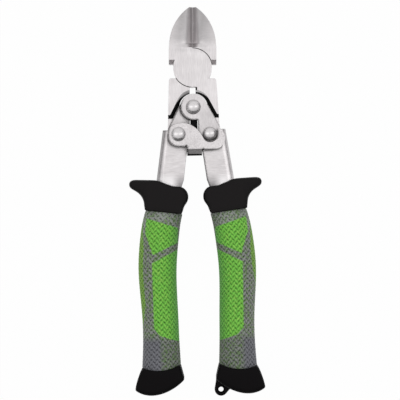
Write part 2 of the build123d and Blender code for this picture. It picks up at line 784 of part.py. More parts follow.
# ---- assembly ----
def pieces():
    return {
        "front_jaw": front_jaw(),
        "rear_jaw": rear_jaw(),
        "hub_pin": hub_pin(),
        "left_handle_frame": left_handle_frame(),
        "right_handle_frame": right_handle_frame(),
        "left_pivot_rivet": left_pivot_rivet(),
        "right_pivot_rivet": right_pivot_rivet(),
        "top_pivot_rivet": top_pivot_rivet(),
        "left_tang_bush": tang_bush(-1, rear_tang_half),
        "right_tang_bush": tang_bush(1, front_tang_half),
        "spring_bobbin": spring_bobbin(),
        "return_springs": Compound(children=return_springs()),
        "lock_latch": lock_latch(),
        "latch_spacer": latch_spacer(),
        "rear_spacer": rear_spacer(),
        "left_grip_core": grip_core(-1),
        "right_grip_core": grip_core(1),
        "left_grip_sleeve": grip_sleeve(-1),
        "right_grip_sleeve": grip_sleeve(1),
        "left_guard": guard(-1),
        "right_guard": guard(1),
        "left_end_cap": end_cap(-1),
        "right_end_cap": end_cap(1),
    }


def resting_place(built):
    """How far the hub moves so that the origin lies under the middle of the whole tool."""
    bounds = [piece.bounding_box() for piece in built.values()]
    low = Vector(min(b.min.X for b in bounds), min(b.min.Y for b in bounds), min(b.min.Z for b in bounds))
    high = Vector(max(b.max.X for b in bounds), max(b.max.Y for b in bounds), 0)
    return Vector(-(low.X + high.X) / 2, -(low.Y + high.Y) / 2, -low.Z)


model = pieces()
hub_place = resting_place(model)
os.makedirs("parts", exist_ok=True)
for name, piece in model.items():
    export_step(piece.moved(Location(hub_place)), f"parts/{name}.step")
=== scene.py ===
import math

import bpy
import numpy as np
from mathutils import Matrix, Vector


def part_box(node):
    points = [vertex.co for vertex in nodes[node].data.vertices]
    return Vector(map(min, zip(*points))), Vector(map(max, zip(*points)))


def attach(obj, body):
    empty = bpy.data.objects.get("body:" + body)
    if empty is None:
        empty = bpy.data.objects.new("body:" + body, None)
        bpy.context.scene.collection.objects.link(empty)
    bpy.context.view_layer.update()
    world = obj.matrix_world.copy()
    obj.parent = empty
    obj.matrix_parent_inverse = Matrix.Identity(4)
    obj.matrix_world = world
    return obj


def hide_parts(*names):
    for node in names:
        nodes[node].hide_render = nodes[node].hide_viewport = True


# A compound side cutter with knitted grips: its finishes, its knit and rubber, and a plain white room.
# Lengths are in metres unless a name or a comment says mm.
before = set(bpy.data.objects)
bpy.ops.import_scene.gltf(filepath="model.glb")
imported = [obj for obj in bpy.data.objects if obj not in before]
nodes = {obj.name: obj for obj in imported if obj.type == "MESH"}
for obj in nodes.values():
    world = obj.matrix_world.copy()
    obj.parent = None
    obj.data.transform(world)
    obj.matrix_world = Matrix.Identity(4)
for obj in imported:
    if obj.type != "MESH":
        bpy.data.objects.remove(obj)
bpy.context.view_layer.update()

MM = 0.001

# ---- places, from the frame ----
pin_low, pin_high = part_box("hub_pin")
guard_low, guard_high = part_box("left_guard")
latch_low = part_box("lock_latch")[0]
hub = Vector(((pin_low.x + pin_high.x) / 2, (pin_low.y + pin_high.y) / 2, (guard_low.z + guard_high.z) / 2))
latch_end = (latch_low.y - hub.y) / MM   # mm from the hub
floor_height = guard_low.z
handle_lean = math.radians(1.4)          # the closed handles sit this far off the blade line


# ---- shader maths ----
class Signal:
    """A shader socket that can be used in sums."""

    def __init__(self, tree, socket):
        self.tree = tree
        self.socket = socket

    def maths(self, operation, *others, clamp=False):
        node = self.tree.nodes.new("ShaderNodeMath")
        node.operation = operation
        node.use_clamp = clamp
        for place, item in enumerate((self,) + others):
            join(self.tree, item, node.inputs[place])
        return Signal(self.tree, node.outputs[0])

    def __add__(self, other):
        return self.maths("ADD", other)

    def __sub__(self, other):
        return self.maths("SUBTRACT", other)

    def __mul__(self, other):
        return self.maths("MULTIPLY", other)

    def __truediv__(self, other):
        return self.maths("DIVIDE", other)

    def __rsub__(self, other):
        return (self * -1.0) + other

    __radd__ = __add__
    __rmul__ = __mul__

    def clamped(self):
        return self.maths("ADD", 0.0, clamp=True)

    def most(self, other):
        return self.maths("MAXIMUM", other)

    def size(self):
        return self.maths("ABSOLUTE")

    def over(self, edge, softness):
        """0 below the edge and 1 above it, with a slope as wide as the softness."""
        return ((self - (edge - softness / 2)) / softness).clamped()

    def under(self, edge, softness):
        """1 below the edge and 0 above it."""
        return 1.0 - self.over(edge, softness)

    def between(self, low, high, softness, high_softness=None):
        """1 between two edges and 0 beyond them."""
        return self.over(low, softness) * self.under(high, high_softness or softness)

    def near(self, middle, half_width, softness):
        """1 within the half width of the middle and 0 further off."""
        return (self - middle).size().under(half_width, softness)

    def stronger(self, gain):
        """The same signal with its swings about one half made larger."""
        return ((self - 0.5) * gain + 0.5).clamped()


def join(tree, item, socket):
    if isinstance(item, Signal):
        tree.links.new(item.socket, socket)
    elif item is not None:
        socket.default_value = item


class Finish:
    """A material with one Principled shader."""

    def __init__(self, name, **constants):
        self.material = bpy.data.materials.new(name)
        self.material.use_nodes = True
        self.tree = self.material.node_tree
        self.tree.nodes.clear()
        output = self.tree.nodes.new("ShaderNodeOutputMaterial")
        self.shader = self.tree.nodes.new("ShaderNodeBsdfPrincipled")
        self.tree.links.new(self.shader.outputs[0], output.inputs["Surface"])
        for socket, value in constants.items():
            self.shader.inputs[socket.replace("_", " ")].default_value = value

    def node(self, kind, settings=None, inputs=None, output=0):
        made = self.tree.nodes.new("ShaderNode" + kind)
        for key, value in (settings or {}).items():
            setattr(made, key, value)
        for key, value in (inputs or {}).items():
            join(self.tree, value, made.inputs[key])
        return Signal(self.tree, made.outputs[output])

    def feed(self, socket, item):
        join(self.tree, item, self.shader.inputs[socket])

    def position(self):
        """Place on the object in mm, from the hub: x across the cutter, y towards the tips, z up."""
        coordinates = self.node("TexCoord", output="Object")
        from_hub = self.node("VectorMath", {"operation": "SUBTRACT"}, {0: coordinates, 1: hub})
        return self.node("VectorMath", {"operation": "SCALE"}, {0: from_hub, "Scale": 1 / MM})

    def facing(self):
        """The way the surface faces, on the object."""
        return self.node("TexCoord", output="Normal")

    def axes(self, vector):
        split = self.tree.nodes.new("ShaderNodeSeparateXYZ")
        join(self.tree, vector, split.inputs[0])
        return [Signal(self.tree, socket) for socket in split.outputs]

    def attribute(self, name):
        """The three values that each point of a mesh carries under this name."""
        return self.axes(self.node("Attribute", {"attribute_name": name}, output="Vector"))

    def stretched(self, vector, scale):
        return self.node("VectorMath", {"operation": "MULTIPLY"}, {0: vector, 1: scale})

    def noise(self, vector, scale=1.0, detail=3.0, roughness=0.55):
        return self.node("TexNoise", None, {
            "Vector": vector, "Scale": scale, "Detail": detail, "Roughness": roughness})

    def two_way_grain(self, lengthwise, crosswise, cross_share):
        """Fine lines along the cutter, which turn across it where the share is 1. Scales are per mm."""
        place = self.position()
        along = self.noise(self.stretched(place, lengthwise), detail=4.0)
        across = self.noise(self.stretched(place, crosswise), detail=4.0)
        return along + cross_share * (across - along)

    def mixed(self, factor, first, second):
        """From the first colour at 0 to the second at 1."""
        made = self.tree.nodes.new("ShaderNodeMix")
        made.data_type = "RGBA"
        join(self.tree, factor, made.inputs[0])
        join(self.tree, first, made.inputs[6])
        join(self.tree, second, made.inputs[7])
        return Signal(self.tree, made.outputs[2])

    def reach(self, place, centre=(0, 0)):
        """How far a place lies from the upright line through the centre."""
        from_line = self.node("VectorMath", {"operation": "SUBTRACT"}, {0: place, 1: (*centre, 0)})
        flat = self.stretched(from_line, (1, 1, 0))
        return self.node("VectorMath", {"operation": "LENGTH"}, {0: flat}, output=1)

    def dot(self, first, second):
        return self.node("VectorMath", {"operation": "DOT_PRODUCT"}, {0: first, 1: second}, output=1)

    def bump(self, height, strength, distance_mm, normal=None):
        return self.node("Bump", None, {
            "Height": height, "Strength": strength, "Distance": distance_mm * MM, "Normal": normal})

    def eased_edges(self, radius_mm):
        return self.node("Bevel", {"samples": 6}, {"Radius": radius_mm * MM})

    def openness(self, reach_mm, lean=(0, 0, 0)):
        """1 on open faces, less down in narrow gaps.

        What stands on the side that the lean points to counts for more.
        """
        leaning = self.node("VectorMath", {"operation": "ADD"}, {0: self.facing(), 1: lean})
        return self.node("AmbientOcclusion", {"samples": 12},
                         {"Distance": reach_mm * MM, "Normal": leaning}, output="AO")


def rgb(red, green, blue):
    return (red, green, blue, 1.0)


# ---- forgings: places in mm from the hub ----
hub_radius = 11.35
seam_inside, seam_outside = 0.1, 0.42     # reach of the dark seam to both sides of the disc's edge
seam_floor = 3.0                          # the seam shows beyond this half thickness
recess_foot, recess_top = -31.5, -13.0
recess_floor = 2.95                       # half thickness left between the recesses
arch_centre = (0.74, -26.04)              # the recess wall gets black painted shade inside this arch and painted light outside it
arch_radius = 11.35
arch_right_swell = 0.5
arch_foot = -20.5                         # the wall gets the painted light only above here
notch_sides = (1.7, 2.7)                  # black painted shade at the end of the notch below the disc
notch_ends = (-13.6, -11.4)
notch_face = 6.3                          # it is on the face, beyond this half thickness
gap_top = 11.0                            # painted shade darkens the gaps at the joints up to here
brushed_top = 15.5                        # the arms are brushed lengthwise up to here
ground_foot = 11.0                        # the blades' ground finish and its painted shade start here
ground_band = (3.6, 8.5)                  # it is duller, with painted shade, in this band beside the cutting edge
run_out = (10.8, 15.5)                    # and fades where the wheel ran out
shaded_tip_from = 27.0                      # painted shade darkens the blades a little towards the tips
# painted shade lines along the blades' bevels, on each side of the cutting edge
left_bevel_line, right_bevel_line = -0.95, 1.1

satin_steel = (rgb(0.52, 0.494, 0.50), rgb(0.76, 0.731, 0.737))
# colours of the duller ground finish, darkened further as painted shade
ground_and_shaded_steel = (rgb(0.29, 0.28, 0.283), rgb(0.44, 0.423, 0.427))
# a light non-metal colour painted on the recess wall outside the arch, as painted light
painted_light_wall_colour = rgb(0.85, 0.825, 0.83)
seam_and_shade_black = rgb(0.006, 0.006, 0.006)


def disc_seam(finish, seam_side):
    """The dark seam round the other forging's hub disc, on the seam side."""
    place = finish.position()
    radius = finish.reach(place)
    seam = radius.between(hub_radius - seam_inside, hub_radius + seam_outside, 0.05, 0.25)
    upward = finish.axes(finish.facing())[2]
    height = finish.axes(place)[2] * seam_side
    return seam * height.over(seam_floor, 1.0) * upward.size().over(0.8, 0.1)


def recess_walls(finish):
    """The walls of the recess below the hub disc: the part with black painted shade, and the part outside the
    arch with painted light.
    """
    place = finish.position()
    x, y, z = finish.axes(place)
    _, ny, nz = finish.axes(finish.facing())
    wall = nz.size().under(0.87, 0.06) * ny.under(-0.15, 0.06)
    wall = wall * y.between(recess_foot, recess_top, 0.5) * z.size().over(recess_floor, 0.05)
    from_arch = finish.reach(place, arch_centre) - x.over(0, 0.5) * arch_right_swell
    painted_lit_part = wall * from_arch.over(arch_radius, 0.4) * y.over(arch_foot, 1.5)
    return wall - painted_lit_part, painted_lit_part


def notch_end(finish, seam_side):
    """Black painted shade at the end of the notch below the disc, on the side away from the seam."""
    x, y, z = finish.axes(finish.position())
    end = (x * -seam_side).between(*notch_sides, 0.2, 0.3) * y.between(*notch_ends, 0.3)
    return end * (z * -seam_side).over(notch_face, 0.1)


def ground_and_shaded(finish):
    """How far the blades' duller ground finish and its painted shade show, with a painted shade line along
    each bevel.
    """
    x, y, _ = finish.axes(finish.position())
    dull_and_shaded = x.size().between(*ground_band, 2.6, 7.0) * 0.6 + y.over(shaded_tip_from, 20.0) * 0.3 + 0.3
    dull_and_shaded = dull_and_shaded + x.near(left_bevel_line, 0.35, 0.35) * 0.75 + x.near(right_bevel_line, 0.8, 0.6) * 0.25
    dull_and_shaded = dull_and_shaded * (1.0 - y.between(*run_out, 1.6, 3.0) * 0.75)
    return y.over(ground_foot, 5.0) * dull_and_shaded


def forged_steel(name, seam_side):
    """Satin steel: ground across the blades and brushed along the arms, with black painted shade on the
    recess walls, in the notch and in the gaps.
    """
    finish = Finish(name, Metallic=1.0, Specular_IOR_Level=0.1)
    place = finish.position()
    y = finish.axes(place)[1]
    lines = finish.two_way_grain((7.0, 0.22, 7.0), (0.25, 9.0, 3.0), y.over(brushed_top, 3.0))
    cloud = finish.noise(place, 0.09, 2.0)
    tone = (lines * 0.7 + cloud * 0.3).stronger(2.7)
    painted_shade_wall, painted_light_wall = recess_walls(finish)
    # painted shade in the narrow gaps of the joints
    painted_gap_shade = (1.0 - finish.openness(1.6).over(0.45, 0.5)) * y.under(gap_top, 1.0) * 0.8
    # black is the dark seam together with painted shade on the recess walls, in the notch and in the gaps
    black = disc_seam(finish, seam_side).most(painted_shade_wall).most(notch_end(finish, seam_side)).most(painted_gap_shade)
    satin = finish.mixed(tone, *satin_steel)
    ground = finish.mixed(tone, *ground_and_shaded_steel)
    steel = finish.mixed(ground_and_shaded(finish), satin, ground)
    # painted light on the recess wall outside the arch
    steel = finish.mixed(painted_light_wall, steel, painted_light_wall_colour)
    finish.feed("Base Color", finish.mixed(black, steel, seam_and_shade_black))
    finish.feed("Metallic", 1.0 - black.most(painted_light_wall))
    finish.feed("Roughness", lines * 0.16 + 0.27 + black * 0.35)
    finish.feed("Normal", finish.bump(lines, 0.16, 0.06, finish.eased_edges(0.35)))
    return finish.material


# ---- sheet: places in mm from the hub ----
cross_grain_top = -46.0                   # below here the grain runs across the stems
window_side = 2.9                         # painted black shadow on the right side of the window below the top rivet
window_middle, window_half_height = -33.8, 3.0
gap_shade_foot = -64.0                        # painted shade darkens the gaps above here
guard_shade_top = -65.0                   # below here painted shade darkens the stems' inner sides by the guards, and painted light brightens their outer sides
stem_middle, stem_inner_reach = 2.6, 12.5
latch_line_normal = (0.67, 0.74)           # square to the closed latch's upper edge
latch_line_offset = 25.84
latch_line_span = (-40.5, -31.0)
latch_line_middle, latch_line_reach = 2.0, 5.0
plate_shade_side = 3.5                    # the plates are a little darker to the right of this
plate_shade_span = (-42.0, -22.0)
flank_edge, flank_slope = 13.85, 0.0556   # the shaded outer flank of a stem starts on this line
flank_top = -40.0
latch_lip = 1.1                           # height of the black painted shadow at the latch's lower end
sheet_shade_lean = (0.4, 0.4, 0)          # what stands at a gap's upper right counts for more
# rounded rims that face this way get a painted shade line
dark_rim_side = (-0.8, -0.6, 0)

plated_steel = (rgb(0.50, 0.475, 0.48), rgb(0.725, 0.697, 0.703))
# a near white painted light for the stems' outer sides by the guards
painted_light_plating = rgb(0.95, 0.93, 0.935)
shaded_plating = rgb(0.11, 0.106, 0.108)
painted_shade_black = rgb(0.012, 0.011, 0.011)


def plated_sheet(finish, grain, dark, painted_light, black):
    """Nickel plated sheet with rounded sheared edges, given its grain, its painted shade, its painted light
    and its black painted shadow.
    """
    normal = finish.facing()
    _, ny, nz = finish.axes(normal)
    rounded = finish.eased_edges(1.9)
    # painted shade: a dark line along rounded rims that face the lower left, and a faint shade in wide
    # hollows
    rim = finish.dot(rounded, normal).under(0.98, 0.03) * finish.dot(rounded, dark_rim_side).over(0.16, 0.12)
    nook = (1.0 - finish.openness(12.0).over(0.80, 0.5)) * 0.08
    cloud = finish.noise(finish.position(), 0.12, 2.0)
    tone = (grain * 0.7 + cloud * 0.3).stronger(3.0)
    colour = finish.mixed(tone, *plated_steel)
    colour = finish.mixed(painted_light, colour, painted_light_plating)
    colour = finish.mixed(dark.most(nook), colour, shaded_plating)
    finish.feed("Base Color", finish.mixed(black.most(rim * 0.9), colour, painted_shade_black))
    finish.feed("Roughness", grain * 0.12 + 0.28)
    finish.feed("Normal", finish.bump(grain, 0.1, 0.05, finish.eased_edges(0.4)))
    return finish.material


def folded_sides(finish, fold_shade=1.0):
    """Painted shade that makes the sheet's folded and sheared sides, and faces turned down, darker than its
    faces.
    """
    _, ny, nz = finish.axes(finish.facing())
    sides = nz.size().under(0.92, 0.08) * 0.38 + nz.size().under(0.5, 0.4) * 0.34
    return sides * fold_shade + ny.under(-0.6, 0.4) * 0.06


def plate_shade(x, y):
    """The shade on the upper plates: a line along the closed latch, and the right side."""
    off_latch = x * latch_line_normal[0] + y * latch_line_normal[1] + latch_line_offset
    line = (off_latch.under(0.6, 0.8) * 0.65).most(off_latch.under(2.5, 4.0) * 0.22)
    line = line * y.between(*latch_line_span, 1.0, 3.0) * x.near(latch_line_middle, latch_line_reach, 1.5)
    return line.most(x.over(plate_shade_side, 4.0) * y.between(*plate_shade_span, 2.0, 8.0) * 0.14)


def handle_sheet(name, fold_shade_strength=1.0, flank_side=None):
    """A stamped channel, with painted shade on the inner side by its guard, painted light on the outer side,
    and painted shade on its folds, in its gaps and by the window.
    """
    finish = Finish(name, Metallic=1.0)
    x, y, _ = finish.axes(finish.position())
    grain = finish.two_way_grain((6.0, 0.3, 6.0), (0.3, 5.0, 2.0), y.under(cross_grain_top, 6.0))
    # painted contact shadow in the gaps, deepest below what stands at their upper right
    gap = (1.0 - finish.openness(4.5, sheet_shade_lean).over(0.60, 0.24)) * y.over(gap_shade_foot, 3.0)
    window_edge = x.near(window_side, 0.45, 0.1) * y.near(window_middle, window_half_height, 0.3)
    near_guard = y.under(guard_shade_top, 7.0)
    inner = x.near(stem_middle, stem_inner_reach, 5.0)
    dark = folded_sides(finish, fold_shade_strength).most(near_guard * inner * 0.62).most(plate_shade(x, y))
    if flank_side is not None:
        flank = (x * flank_side + y * flank_slope).over(flank_edge, 0.6)
        dark = dark.most(flank * y.under(flank_top, 2.0) * 0.30)
    painted_light = near_guard * (1.0 - inner) * 0.8
    return plated_sheet(finish, grain, dark, painted_light, gap.most(window_edge))


def latch_sheet():
    """The latch, with an even fine grain, painted shade on its folded sides and a black painted shadow at its
    lower end.
    """
    finish = Finish("latch_sheet", Metallic=1.0)
    place = finish.position()
    y = finish.axes(place)[1]
    grain = finish.noise(finish.stretched(place, (1.2, 1.2, 1.2)), detail=4.0)
    return plated_sheet(finish, grain, folded_sides(finish), 0.0, y.under(latch_end + latch_lip, 0.2))


# ---- domes and small parts ----
dome_shade_lean = (0.15, 0.7, 0)          # what stands above a dome counts for more
dome_steel = (rgb(0.59, 0.57, 0.575), rgb(0.74, 0.717, 0.722))
dome_shade = rgb(0.05, 0.048, 0.048)
painted_side_shade = rgb(0.001, 0.001, 0.001)


def polished_steel():
    """Polished rivet heads with painted shade below, round the foot and towards the lower right, and a foot
    that mirrors less.
    """
    finish = Finish("polished_dome")
    marks = finish.noise(finish.position(), 1.6, 5.0)
    nx, ny, nz = finish.axes(finish.facing())
    # painted shade on the lower side, round the foot and towards the lower right
    below = (1.0 - finish.openness(9.0, dome_shade_lean).over(0.62, 0.7)) * ny.under(-0.40, 0.5)
    foot = nz.size().under(0.74, 0.30) * 0.14
    lower_right = (nx * 0.6 - ny * 0.8).over(0.35, 0.8) * 0.30
    colour = finish.mixed(marks, *dome_steel)
    finish.feed("Base Color", finish.mixed(below.most(foot + lower_right), colour, dome_shade))
    finish.feed("Metallic", 1.0 - nz.size().under(0.80, 0.3) * 0.5)
    finish.feed("Roughness", marks * 0.10 + 0.24)
    finish.feed("Normal", finish.bump(marks, 0.05, 0.04))
    return finish.material


def turned_metal(name, low, high, roughness):
    """Turned or drawn small parts, with fine rings left by the lathe."""
    finish = Finish(name, Metallic=1.0)
    rings = finish.noise(finish.stretched(finish.position(), (0.6, 0.6, 14.0)), detail=3.0)
    finish.feed("Base Color", finish.mixed(rings, low, high))
    finish.feed("Roughness", rings * 0.15 + roughness)
    finish.feed("Normal", finish.bump(rings, 0.2, 0.04))
    return finish.material


def moulded(name, low, high, roughness, grain_scale=5.0, grain_depth=0.12, sheen=0.13):
    """Moulded plastic or rubber with a fine matt grain, faint handling marks and painted shade on its sides.
    """
    finish = Finish(name, Specular_IOR_Level=sheen)
    place = finish.position()
    grain = finish.noise(place, grain_scale, 4.0, 0.6)
    cloud = finish.noise(place, 0.11, 3.0)
    # painted shade darkens the sides that turn away from the top
    side = finish.axes(finish.facing())[2].size().under(0.85, 0.4) * 0.7
    finish.feed("Base Color", finish.mixed(side, finish.mixed(cloud, low, high), painted_side_shade))
    finish.feed("Roughness", cloud * 0.14 + grain * 0.06 + roughness)
    finish.feed("Normal", finish.bump(grain, grain_depth, 0.05))
    return finish.material


# ---- knit sleeves: places in mm from the hub, square to the closed right handle ----
# (distance along the cutter, middle of the grip, width)
grip_stations = np.array([
    (-80.0, 17.6, 23.0),
    (-90.0, 20.4, 23.2),
    (-100.0, 22.05, 23.4),
    (-118.0, 23.6, 23.1),
    (-145.0, 22.7, 21.9),
    (-160.0, 22.45, 22.0),
    (-180.0, 22.6, 24.0),
])
grip_middle = -130.0
grip_thickness = 20.6
seam_top = np.array([(8.5, -86.0), (30.1, -83.3)])       # inner and outer end of the guard's seam
seam_end = np.array([(11.4, -174.6), (33.8, -176.1)])    # and of the end cap's seam
seam_end_sag = 2.2
sleeve_wall = 1.1

knit_columns = 40                 # round the grip
knit_row = 2.9                    # along the grip
knit_depth = 0.42                 # from a strand's crest to the bottom of a hole
knit_middle = 0.55                # share of that depth at which the sleeve's own surface lies
knit_fade = 0.8                   # length over which the strands sink in at a seam
knit_inset = {-1: 0.42, 1: 0.70}  # from the solid's skin down to the middle of the strands
half_strand = 0.36                # of a row
strand_height = 0.78              # shares of the knit's depth
strand_swing = 0.26               # what a strand gains where it crosses over another
crossing_fade = 0.2
around_steps = 7 * knit_columns
along_steps = 300
inner_steps = 40
settling_rounds = 6

# Panels of lime yarn on the right grip, which the left one mirrors
upper_panel = [(29.3, -88.0), (11.0, -94.0), (11.3, -102.8), (26.0, -109.6), (30.2, -96.4)]
lower_panel = [(6.0, -104.0), (12.5, -107.3), (26.6, -114.3), (26.3, -153.0), (22.5, -157.2), (6.0, -163.0)]
side_strip_width = 3.4
side_strip_span = {-1: (-89.0, -156.0), 1: (-89.0, -134.0)}
strip_head_taper, strip_foot_taper = 22.0, 18.0
strip_head_lead = 5.0             # the taper starts this far above the strip
strip_edge_fade, strip_head_fade = 0.5, 0.6
panel_fade = 0.35
cuff_from, cuff_fade = -157.0, 4.0  # where the grey end of the knit starts
cuff_split = {-1: 22.3, 1: 26.0}  # it is plain grey on the outer side of this line
cuff_split_fade = 2.5
collar_from = -95.0               # the knit is paler above here
inner_shade_width, inner_shade_power = 7.0, 1.3

# Yarns, from painted shade at the bottom of a stitch to a painted highlight on its crest
bright_lime_crests = (rgb(0.25, 0.78, 0.085), rgb(0.36, 0.82, 0.11))
bright_lime_foot = rgb(0.038, 0.180, 0.006)
# the lime in painted shade towards the grip's inner edge
shaded_inner_lime = (rgb(0.030, 0.170, 0.018), rgb(0.14, 0.50, 0.08))
strip_lime = (rgb(0.040, 0.120, 0.005), rgb(0.27, 0.56, 0.06))
plain_grey = (rgb(0.036, 0.038, 0.046), rgb(0.235, 0.238, 0.265))
mixed_grey = (rgb(0.022, 0.030, 0.020), rgb(0.37, 0.39, 0.365))
green_thread = (rgb(0.030, 0.085, 0.008), rgb(0.17, 0.33, 0.07))
shaded_grey = rgb(0.02, 0.03, 0.015)


def knit():
    """Two-tone knitted sleeve: lime panels on grey, with green threads mixed into most of the grey."""
    finish = Finish("knit_sleeve", Sheen_Weight=0.25, Sheen_Roughness=0.5)
    place = finish.position()
    height, on_top, mixed_threads = finish.attribute("weave")
    lime, cuff, painted_inner_shade = finish.attribute("panels")
    speck = finish.noise(place, 1.3, 2.0, 0.6).stronger(2.6)
    patch = finish.noise(place, 0.75, 2.0)
    # painted shade in the holes and a painted highlight on the crests and where a strand lies on top, with
    # random specks
    light = (height.over(0.5, 0.8) * 0.45 + on_top * 0.30 + speck * 0.50 - 0.12).clamped()

    crest = finish.mixed(patch.over(0.56, 0.14), *bright_lime_crests)
    lime_yarn = finish.mixed(light, bright_lime_foot, crest)
    lime_yarn = finish.mixed(painted_inner_shade, lime_yarn, finish.mixed(light, *shaded_inner_lime))
    lime_yarn = finish.mixed(mixed_threads, finish.mixed(light, *strip_lime), lime_yarn)

    collar = finish.axes(place)[1].over(collar_from, 8.0)
    paler = (light * (collar * 0.75 + 1.0)).clamped()
    grey = finish.mixed(paler, *mixed_grey)
    grey = finish.mixed(patch.over(0.54, 0.08) * 0.75, grey, finish.mixed(light, *green_thread))
    # the grey is darker on the cuff, and painted shade darkens it towards the inner edge
    grey = finish.mixed((cuff * 0.25).most(painted_inner_shade * 0.45), grey, shaded_grey)
    grey = finish.mixed(mixed_threads, finish.mixed(light, *plain_grey), grey)

    finish.feed("Base Color", finish.mixed(lime, grey, lime_yarn))
    finish.feed("Roughness", 0.82 - light * 0.14)
    finish.feed("Normal", finish.bump(speck, 0.3, 0.06))
    return finish.material


def mesh_object(name, points, faces, smooth=True):
    mesh = bpy.data.meshes.new(name)
    mesh.from_pydata([tuple(p) for p in points], [], [tuple(f) for f in faces])
    mesh.update()
    made = bpy.data.objects.new(name, mesh)
    bpy.context.scene.collection.objects.link(made)
    if smooth:
        mesh.shade_smooth()
    return made


def share(values):
    """The values kept between 0 and 1."""
    return np.clip(values, 0, 1)


def handle_places(x_mm, y_mm, z_mm, side):
    """The scene's places, in metres, of points given square to the closed right handle.

    The side is 1 for the right handle and -1 for its mirror image.
    """
    across = side * x_mm
    turned_x = across * math.cos(handle_lean) - y_mm * math.sin(handle_lean)
    turned_y = across * math.sin(handle_lean) + y_mm * math.cos(handle_lean)
    return np.stack([hub.x + turned_x * MM, hub.y + turned_y * MM, hub.z + z_mm * MM], axis=-1)


def square_places(places, side):
    """The x and y, in mm, that the scene's places have square to the closed right handle."""
    x = (places[:, 0] - hub.x) / MM
    y = (places[:, 1] - hub.y) / MM
    back_x = x * math.cos(handle_lean) + y * math.sin(handle_lean)
    back_y = -x * math.sin(handle_lean) + y * math.cos(handle_lean)
    return side * back_x, back_y


def smooth_table(table):
    """A function through a table's points that bends evenly: a natural cubic spline for each column."""
    order = np.argsort(table[:, 0])
    xs, ys = table[order, 0], table[order, 1:]
    count = len(xs)
    step = np.diff(xs)
    system, right = np.eye(count), np.zeros((count, ys.shape[1]))
    for i in range(1, count - 1):
        system[i, i - 1:i + 2] = step[i - 1], 2 * (step[i - 1] + step[i]), step[i]
        right[i] = 6 * ((ys[i + 1] - ys[i]) / step[i] - (ys[i] - ys[i - 1]) / step[i - 1])
    bend = np.linalg.solve(system, right)

    def value(x):
        i = np.clip(np.searchsorted(xs, x) - 1, 0, count - 2)
        h = step[i]
        low, high = ((xs[i + 1] - x) / h)[..., None], ((x - xs[i]) / h)[..., None]
        h = h[..., None]
        curve = low * ys[i] + high * ys[i + 1]
        return curve + ((low ** 3 - low) * bend[i] + (high ** 3 - high) * bend[i + 1]) * h ** 2 / 6

    return value


grip_line = smooth_table(grip_stations)


def seam_heights(x):
    """Where the guard's seam and the end cap's seam cross a line along the grip."""
    (inner_x, inner_y), (outer_x, outer_y) = seam_top
    top = inner_y + (x - inner_x) * (outer_y - inner_y) / (outer_x - inner_x)
    (inner_x, inner_y), (outer_x, outer_y) = seam_end
    crossed = share((x - inner_x) / (outer_x - inner_x))
    end = inner_y + crossed * (outer_y - inner_y) - seam_end_sag * 4 * crossed * (1 - crossed)
    return top, end


def grip_across(angle, y, shrink):
    """How far out a point of the grip's skin, sunk by the shrink, lies at this angle round the grip."""
    line = grip_line(y)
    return line[..., 0] + (line[..., 1] / 2 - shrink) * np.cos(angle)


def sleeve_grid(angles, shares, shrink):
    """Points of the sleeve's surface between its seams, in mm, for every share and angle."""
    part, angle = np.meshgrid(shares, angles, indexing="ij")
    y = np.full(part.shape, grip_middle)
    for _ in range(settling_rounds):
        top, end = seam_heights(grip_across(angle, y, shrink))
        y = top + part * (end - top)
    return grip_across(angle, y, shrink), y, (grip_thickness / 2 - shrink) * np.sin(angle)


def knit_relief(column, row):
    """Two families of strands that cross over and under each other, and the holes between them."""
    first = (row - 0.5 * column + 0.25) % 1.0 - 0.5
    second = (row + 0.5 * column - 0.25) % 1.0 - 0.5
    over = strand_swing * np.cos(math.pi * (column - 0.5))
    first_height = np.sqrt(share(1 - (first / half_strand) ** 2)) * (strand_height + over)
    second_height = np.sqrt(share(1 - (second / half_strand) ** 2)) * (strand_height - over)
    lead = (first_height - second_height) * np.sign(over)
    return np.maximum(first_height, second_height), share(lead / crossing_fade)


def outward(angles, y):
    """The way out of the grip's oval section, as its parts across and up."""
    across = np.cos(angles) / (grip_line(y)[..., 1] / 2)
    up = np.sin(angles) / (grip_thickness / 2)
    length = np.hypot(across, up)
    return across / length, up / length


def band(lower, upper, flip):
    """Faces between two rings of points, each given by the number of its first point."""
    faces = []
    for k in range(around_steps):
        n = (k + 1) % around_steps
        quad = [lower + k, lower + n, upper + n, upper + k]
        faces.append(quad[::-1] if flip else quad)
    return faces


def tube(name, outer, inner, side):
    """A closed tube from the rings of its outer and its inner surface."""
    points = np.concatenate([outer.reshape(-1, 3), inner.reshape(-1, 3)])
    inner_start = len(outer) * around_steps
    faces = []
    for start, rings, flip in ((0, len(outer), side > 0), (inner_start, len(inner), side < 0)):
        for i in range(rings - 1):
            faces += band(start + i * around_steps, start + (i + 1) * around_steps, flip)
    last_ring = (len(outer) - 1) * around_steps
    last_inner_ring = inner_start + (len(inner) - 1) * around_steps
    faces += band(0, inner_start, side < 0)
    faces += band(last_ring, last_inner_ring, side > 0)
    return mesh_object(name, points, faces)


def inside_panel(corners, x, y):
    """1 inside a convex outline given once round, and 0 outside it."""
    sides = list(zip(corners, corners[1:] + corners[:1]))
    turn = sum((b[0] - a[0]) * (b[1] + a[1]) for a, b in sides)
    inside = np.full(x.shape, np.inf)
    for a, b in sides:
        length = math.hypot(b[0] - a[0], b[1] - a[1])
        distance = ((b[0] - a[0]) * (y - a[1]) - (b[1] - a[1]) * (x - a[0])) / length
        inside = np.minimum(inside, -distance if turn > 0 else distance)
    return share(inside / panel_fade + 0.5)


